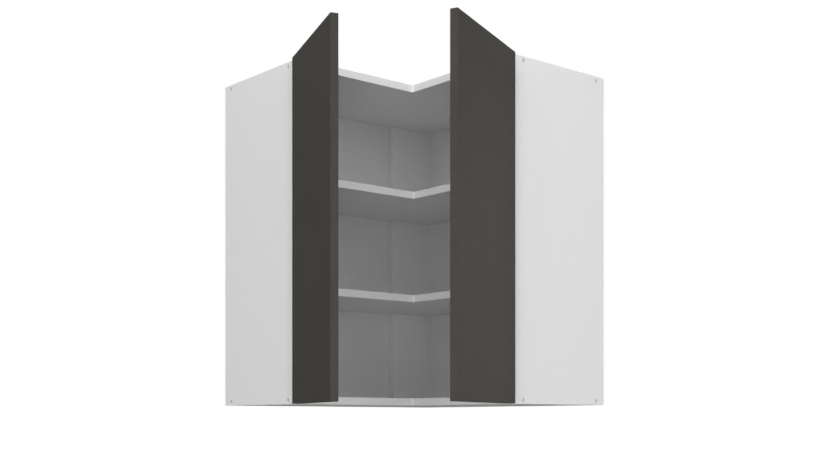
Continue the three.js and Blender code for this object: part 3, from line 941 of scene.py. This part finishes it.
@dataclass
class Carcass:
    """The boards of the L-shaped box, its shelves, and its thin backs with their nails.

    Sizes are in millimetres.
    """

    nodes: dict
    palette: Palette
    heads: Heads
    body: str = "carcass"
    board_radius: float = 0.5
    back_radius: float = 0.15
    shared_boards: tuple = ("top_panel", "bottom_panel", "shelf_lower", "shelf_upper")
    rear_reach: float = 3.4  # rear edges and rebates lie this near the wall
    end_reach: float = 500.0  # faces farther along the wall are a leg's outer end
    back_margin: float = 8.2  # from the carcass's ends to a back board's edges
    nail_pitch: float = 96.0
    nail_inset: float = 4.0  # from a back board's edges

    def build(self) -> None:
        """Dresses every board."""
        covers = (self.palette.film, self.palette.band, self.palette.chipboard)
        sorts = {name: self._panel_face for name in self.shared_boards}
        sorts["corner_board"] = self._corner_board_face
        for leg in LEGS:
            sorts[f"side_panel_{leg.name}"] = self._side_face(leg)
        for name, sort in sorts.items():
            board = DressedSolid(name, self.body, "white_board", covers, self.board_radius, sort)
            board.build(self.nodes[name])
        for leg in LEGS:
            self._back(leg)

    def _panel_face(self, centre: Vector, normal: Vector) -> int:
        """Sorts a face of a top, bottom or shelf panel.

        Args:
            centre: The face's middle.
            normal: Its direction.

        Returns:
            The number of what covers it.
        """
        if abs(normal.z) > FACING:
            return BoardFace.FILM.value
        rear = normal.x < -LEANING or normal.y > LEANING
        end = centre.x > self.end_reach or centre.y < -self.end_reach
        return BoardFace.RAW.value if rear or end else BoardFace.BAND.value

    @staticmethod
    def _corner_board_face(_centre: Vector, normal: Vector) -> int:
        """Sorts a face of the corner board.

        Args:
            normal: The face's direction.

        Returns:
            The number of what covers it.
        """
        if abs(normal.x) > FACING:
            return BoardFace.FILM.value
        return BoardFace.BAND.value if normal.y < -FACING else BoardFace.RAW.value

    def _side_face(self, leg: Leg) -> Callable[[Vector, Vector], int]:
        """Makes what sorts the faces of one side panel.

        Args:
            leg: The panel's leg.

        Returns:
            A function from a face's middle and direction to the number of what covers it.
        """
        to_leg = leg.carcass().to_3x3().inverted() * MM

        def sort(centre: Vector, normal: Vector) -> int:
            """Sorts a face by the leg's own directions.

            Args:
                centre: The face's middle.
                normal: Its direction.

            Returns:
                The number of what covers it.
            """
            from_wall = (to_leg @ centre).y
            along, out, up = to_leg @ normal
            if from_wall < self.rear_reach or out < -LEANING:
                return BoardFace.RAW.value
            if abs(up) > FACING or out > LEANING:
                return BoardFace.BAND.value
            return BoardFace.FILM.value if abs(along) > FACING else BoardFace.RAW.value

        return sort

    def _back(self, leg: Leg) -> None:
        """Dresses one back board, white to the inside, and nails it on.

        Args:
            leg: The board's leg.
        """
        to_leg = leg.carcass().to_3x3().inverted() * MM

        def sort(_centre: Vector, normal: Vector) -> int:
            """Sorts the lacquered face from the fibre."""
            return 0 if (to_leg @ normal).y > FACING else 1

        covers = (self.palette.hardboard, self.palette.fibre)
        name = f"back_board_{leg.name}"
        board = DressedSolid(name, self.body, "back_board", covers, self.back_radius, sort)
        board.build(self.nodes[name])
        blank = Blank()
        inset = self.back_margin + self.nail_inset
        low, high, end = inset, leg.height - inset, leg.length - inset
        count = round(end / self.nail_pitch)
        for i in range(count):
            for z in (low, high):
                blank.stamped(self.heads.nail, Seat((end - i * end / count, 0, z), (0, -1, 0)))
        rows = round((high - low) / self.nail_pitch)
        for i in range(1, rows):
            z = low + (high - low) * i / rows
            blank.stamped(self.heads.nail, Seat((end, 0, z), (0, -1, 0)))
        nails = blank.placed(f"back_nails_{leg.name}", leg.carcass(), [self.palette.zinc])
        settle(nails, self.body)


@dataclass
class Fittings:
    """The carcass screws, the shelf pins, and the hangers with their adjusting screws.

    Sizes are in millimetres.
    """

    nodes: dict
    palette: Palette
    heads: Heads
    body: str = "carcass"
    edge_radius: float = 0.2
    hanger_radius: float = 0.6
    hanger_face: float = 49.4  # from the wall
    hanger_from_end: float = 24.7  # from the leg's outer end to the housing's middle
    hanger_screws_below_top: Point2 = (32.0, 54.0)

    def build(self) -> None:
        """Dresses the fittings."""
        kinds = {
            "carcass_screw": ("screw_steel", self.palette.bright_zinc),
            "shelf_pin": ("zinc_steel", self.palette.zinc),
            "hanger_hook": ("zinc_steel", self.palette.zinc),
        }
        for name in sorted(self.nodes):
            for kind, (slot, finish) in kinds.items():
                if name.startswith(kind):
                    made = DressedSolid(name, self.body, slot, [finish], self.edge_radius)
                    made.build(self.nodes[name])
        for leg in LEGS:
            self._hanger(leg)

    def _hanger(self, leg: Leg) -> None:
        """Dresses one hanger's housing and gives it its two screws.

        Args:
            leg: The leg that it holds.
        """
        name = f"hanger_housing_{leg.name}"
        middle = leg.length - self.hanger_from_end
        heights = [leg.height - below for below in self.hanger_screws_below_top]
        seats = [Seat((middle, self.hanger_face, z), (0, 1, 0)) for z in heights]
        housing = DressedSolid(
            name,
            self.body,
            "hanger_plastic",
            [self.palette.polyamide],
            self.hanger_radius,
            seats=seats,
            place=leg.carcass(),
        )
        housing.build(self.nodes[name])
        blank = Blank()
        for seat in seats:
            blank.stamped(self.heads.screw, seat)
        screws = blank.placed(f"hanger_screws_{leg.name}", leg.carcass(), [self.palette.zinc])
        settle(screws, self.body)


@dataclass
class Door:
    """One lacquered front with its two silicone bumpers. Sizes are in millimetres."""

    leg: Leg
    nodes: dict
    palette: Palette
    edge_radius: float = 0.3
    bumper_radius: float = 0.35

    def build(self) -> None:
        """Dresses the front and the bumpers."""
        body = f"door_leaf_{self.leg.name}"
        name = f"door_{self.leg.name}"
        front = DressedSolid(name, body, "dark_front", [self.palette.lacquer], self.edge_radius)
        front.build(self.nodes[name])
        for level in LEVELS:
            name = f"bumper_{self.leg.name}_{level}"
            covers = [self.palette.silicone]
            bumper = DressedSolid(name, body, "bumper_silicone", covers, self.bumper_radius)
            bumper.build(self.nodes[name])


@dataclass
class Hinge:
    """One concealed wide-angle hinge: plate and arm on the carcass, two links, and the cup in the door.

    Sizes are in millimetres, and its height is that of its centre.
    """

    leg: Leg
    level: str
    height: float
    nodes: dict
    palette: Palette
    heads: Heads
    edge_radius: float = 0.25
    plate_screw_inset: Point2 = (18.2, 37.0)  # from the leg's outer end, and from the carcass's front
    plate_screw_spacing: float = 32.0
    arm_screw_inset: Point2 = (34.0, 38.0)
    arm_half_width: float = 8.8
    fork_half_width: float = 7.0
    cup_from_end: float = 24.0  # from the leg's outer end to the cup's centre, with the door closed
    cup_radius: float = 17.5
    cup_depth: float = 11.5
    cup_wall: float = 1.6
    cup_edge: float = 1.0  # chamfer round its bottom
    floor_round: tuple = ((1.8, 0.0), (0.5, 0.5), (0.0, 1.8))  # in from the bowl's wall, up from its floor
    rim_near: tuple = ((0.0, 0.5), (0.2, 0.12), (0.6, 0.0))  # out from the bowl's wall, down from the rim
    rim_far: tuple = ((0.6, 0.0), (0.1, 0.15), (0.0, 0.5))  # in from the flange's edge, down from the rim
    cup_steps: int = 64
    flange: Point2 = (-1.4, -0.2)  # its two faces, from the door's inner face into the door
    flange_radius: float = 20.0
    wing_shift: float = 6.0
    wing_radius: float = 6.5
    wing_reach: float = 31.0
    wing_start: float = 15.6
    wing_steps: int = 16
    wing_edge: tuple = ((0.3, 0.1), (0.08, 0.18), (0.0, 0.4))  # in from its side, down from the rim
    cup_screw_spacing: float = 50.0
    pin_radius: float = 2.0
    pin_seat: float = 0.4  # how far each end of the pin goes into the bowl's wall
    pin_steps: int = 24

    def build(self) -> None:
        """Dresses the four pieces of the arm's side and makes the cup."""
        side, middle = self.leg.name, self.height
        half = self.plate_screw_spacing / 2
        inward = (-1, 0, 0)
        on_plate = self.leg.inset(*self.plate_screw_inset)
        plate = [Seat((*on_plate, middle + way * half), inward) for way in (-1, 1)]
        arm = [Seat((*self.leg.inset(*self.arm_screw_inset), middle), inward)]
        still, swing = self.leg.carcass(), self.leg.swing()
        self._dress("mounting_plate", "carcass", plate, still)
        self._dress("hinge_arm", "carcass", arm, still)
        self._dress("swing_link", f"swing_links_{side}", (), swing)
        self._dress("knee_link", f"knee_links_{side}", (), self.leg.knee_link())
        self._small("hinge_screws", "carcass", self.heads.screw, plate + arm, still)
        rivets = self._rivets(self.leg.arm_pivot, self.arm_half_width)
        self._small("arm_rivets", "carcass", self.heads.rivet, rivets, still)
        rivets = self._rivets(self.leg.knee, self.fork_half_width)
        self._small("knee_rivets", f"swing_links_{side}", self.heads.rivet, rivets, swing)
        self._cup()

    def _suffix(self) -> str:
        """Returns the end of this hinge's names."""
        return f"{self.leg.name}_{self.level}"

    def _dress(self, part: str, body: str, seats: Sequence[Seat], place: Matrix) -> None:
        """Dresses one solid of the hinge.

        Args:
            part: What its node's name starts with.
            body: The body it moves with.
            seats: Where it has plain heads to be pressed down.
            place: The way from the leg's millimetres to the cabinet's metres.
        """
        name = f"{part}_{self._suffix()}"
        covers = [self.palette.nickel]
        made = DressedSolid(name, body, "hinge_steel", covers, self.edge_radius, seats=seats, place=place)
        made.build(self.nodes[name])

    def _rivets(self, pivot: Point2, half_width: float) -> list[Seat]:
        """Returns the seats of a pin's two riveted ends."""
        return [Seat((*pivot, self.height + way * half_width), (0, 0, way)) for way in (-1, 1)]

    def _small(
        self, part: str, body: str, form: bpy.types.Mesh, seats: Sequence[Seat], place: Matrix
    ) -> None:
        """Stamps heads of one kind on their seats.

        Args:
            part: What the piece's name starts with.
            body: The body it moves with.
            form: The head.
            seats: Where the heads stand.
            place: The way from the leg's millimetres to the cabinet's metres.
        """
        blank = Blank()
        for seat in seats:
            blank.stamped(form, seat)
        made = blank.placed(f"{part}_{self._suffix()}", place, [self.palette.nickel])
        settle(made, body)

    def _cup(self) -> None:
        """Makes the cup: a drawn bowl with a rolled rim, two wings with their screws, and its pin."""
        blank = Blank()
        centre = Vector((*self.leg.inset(self.cup_from_end, -self.leg.door_gap), self.height))
        outer, inner = self.cup_radius, self.cup_radius - self.cup_wall
        depth, floor = self.cup_depth, self.cup_depth - self.cup_wall
        (top, under), lip = self.flange, self.flange_radius
        hollow = [(0, floor)] + [(inner - x, floor - y) for x, y in self.floor_round]
        rim = [(inner + x, top + y) for x, y in self.rim_near]
        rim += [(lip - x, top + y) for x, y in self.rim_far]
        edge = self.cup_edge
        back = [(lip, under), (outer, under), (outer, depth - edge), (outer - edge, depth), (0, depth)]
        blank.turned([*hollow, *rim, *back], centre, Vector((0, 1, 0)), self.cup_steps)
        for way in (-1, 1):
            self._wing(blank, centre, way)
        off_centre = self.leg.cup_pin[0] - centre.x
        half = math.sqrt(inner**2 - off_centre**2) + self.pin_seat
        ends = [(0, -half), (self.pin_radius, -half), (self.pin_radius, half), (0, half)]
        pin = Vector((*self.leg.cup_pin, self.height))
        blank.turned(ends, pin, Vector((0, 0, 1)), self.pin_steps)
        name = f"hinge_cup_{self._suffix()}"
        cup = blank.placed(f"{name}_drawn", self.leg.leaf(), [self.palette.nickel])
        settle(cup, f"door_leaf_{self.leg.name}", name)

    def _wing(self, blank: Blank, centre: Vector, way: int) -> None:
        """Adds one wing with its screw.

        Args:
            blank: The cup in the making.
            centre: The cup's centre on the door's inner face.
            way: 1 for the upper wing, -1 for the lower.
        """
        top, under = self.flange
        middle = centre - Vector((self.wing_shift, 0, 0))
        straight = self.wing_reach - self.wing_radius
        arc = [math.pi * i / self.wing_steps for i in range(self.wing_steps + 1)]
        layers = []
        for inset, down in (*self.wing_edge, (0.0, under - top)):
            radius, level = self.wing_radius - inset, top + down
            outline = [(radius, self.wing_start)]
            outline += [(radius * math.cos(t), straight + radius * math.sin(t)) for t in arc]
            outline.append((-radius, self.wing_start))
            layers.append([middle + Vector((x, level, way * z)) for x, z in outline])
        blank.layers(layers)
        crest = top + self.wing_edge[0][1]
        screw = middle + Vector((0, crest, way * self.cup_screw_spacing / 2))
        blank.stamped(self.heads.screw, Seat(tuple(screw), (0, -1, 0)))


# ---------------------------------------------------------------- camera and studio


@dataclass
class PhotoCamera:
    """The camera of the photograph: level, just under the cabinet, and shifted up onto it."""

    place: Point3 = (2.3385, -2.0218, -0.03655)
    heading_degrees: float = 49.79
    level_degrees: float = 90.0
    lens_mm: float = 52.09
    sensor_mm: float = 36.0
    shift_up: float = 0.2269

    def build(self) -> None:
        """Makes the camera and sets it as the scene's own."""
        data = bpy.data.cameras.new("photo_camera")
        data.sensor_width = self.sensor_mm
        data.lens = self.lens_mm
        data.shift_y = self.shift_up
        camera = bpy.data.objects.new("photo_camera", data)
        camera.location = self.place
        camera.rotation_euler = (math.radians(self.level_degrees), 0, math.radians(self.heading_degrees))
        bpy.context.collection.objects.link(camera)
        bpy.context.scene.camera = camera


@dataclass(frozen=True)
class Lamp:
    """A square soft lamp that faces the cabinet: where it hangs, its side in metres, its power in watts."""

    name: str
    place: Point3
    size: float
    power: float

    def build(self, aim: Vector) -> None:
        """Hangs the lamp.

        Args:
            aim: The point it faces.
        """
        data = bpy.data.lights.new(self.name, "AREA")
        data.shape = "SQUARE"
        data.size = self.size
        data.energy = self.power
        lamp = bpy.data.objects.new(self.name, data)
        lamp.location = self.place
        lamp.visible_camera = False
        lamp.rotation_euler = (aim - lamp.location).to_track_quat("-Z", "Y").to_euler()
        bpy.context.collection.objects.link(lamp)


@dataclass
class Studio:
    """The pale floor, the white surround and the soft lamps, in metres."""

    floor_level: float = -1.4
    floor_size: float = 30.0
    floor_thickness: float = 0.02
    floor_white: str = "#A6A6A4"
    floor_cloud: str = "#A1A19F"
    floor_cloud_mm: float = 400.0
    floor_roughness: float = 0.9
    floor_gloss: float = 0.1
    floor_lift: float = 0.68  # what the camera sees is lightened by this much
    ambient: float = 0.24
    aim: Point3 = (0.3, -0.3, 0.36)
    lamps: tuple = (
        Lamp("front_softbox", (3.34, -3.16, 2.2), 5.0, 252.0),
        Lamp("low_fill", (2.4, -2.05, -0.9), 1.2, 14.5),
        Lamp("right_lamp", (0.85, 5.15, 0.85), 2.4, 112.0),
    )

    def build(self) -> None:
        """Makes floor, surround and lamps."""
        self._floor()
        self._surround()
        for lamp in self.lamps:
            lamp.build(Vector(self.aim))

    def _floor(self) -> None:
        """Lays a pale floor that turns white for the camera where no shadow falls."""
        half = self.floor_size / 2
        blank = Blank()
        ends = ((-half, -half), (half, -half), (half, half), (-half, half))
        levels = (self.floor_level, self.floor_level - self.floor_thickness)
        blank.layers([[Vector((x, y, level)) for x, y in ends] for level in levels])
        surface = Surface("pale_studio_floor")
        cloud = surface.clouds(self.floor_cloud_mm)
        path = add_node(surface.tree, "ShaderNodeLightPath").outputs
        lift = add_node(
            surface.tree,
            "ShaderNodeMath",
            {0: path["Is Camera Ray"], 1: self.floor_lift},
            operation="MULTIPLY",
        )
        surface.feed(
            Base_Color=surface.tint(cloud, self.floor_white, self.floor_cloud),
            Roughness=self.floor_roughness,
            Specular_IOR_Level=self.floor_gloss,
            Emission_Color=linear(WHITE),
            Emission_Strength=lift.outputs[0],
        )
        blank.placed("studio_floor", Matrix(), [surface.material])

    def _surround(self) -> None:
        """Lets the cabinet stand in an even light, before a surround that itself shows as white."""
        world = bpy.data.worlds.new("white_surround")
        world.use_nodes = True
        tree = world.node_tree
        tree.nodes.clear()
        path = add_node(tree, "ShaderNodeLightPath").outputs
        seen = path["Is Camera Ray"]
        for kind in ("Is Glossy Ray", "Is Transmission Ray"):
            either = add_node(tree, "ShaderNodeMath", {0: seen, 1: path[kind]}, operation="MAXIMUM")
            seen = either.outputs[0]
        inputs = {"Value": seen, "To Min": self.ambient, "To Max": 1.0}
        strength = add_node(tree, "ShaderNodeMapRange", inputs).outputs[0]
        light = add_node(tree, "ShaderNodeBackground", {"Color": linear(WHITE), "Strength": strength})
        add_node(tree, "ShaderNodeOutputWorld", {"Surface": light.outputs[0]})
        bpy.context.scene.world = world


def main() -> None:
    """Loads the solids, dresses every sub-assembly of the cabinet and sets up the studio."""
    logging.basicConfig(level=logging.INFO, format="%(message)s")
    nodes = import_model()["nodes"]
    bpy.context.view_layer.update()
    PhotoCamera().build()
    palette, heads = Palette(), Heads()
    Carcass(nodes, palette, heads).build()
    Fittings(nodes, palette, heads).build()
    for leg in LEGS:
        Door(leg, nodes, palette).build()
        for level, height in zip(LEVELS, leg.hinge_heights):
            Hinge(leg, level, height, nodes, palette, heads).build()
    Studio().build()
    bpy.context.scene.view_settings.view_transform = "Standard"


if __name__ == "__main__":
    main()
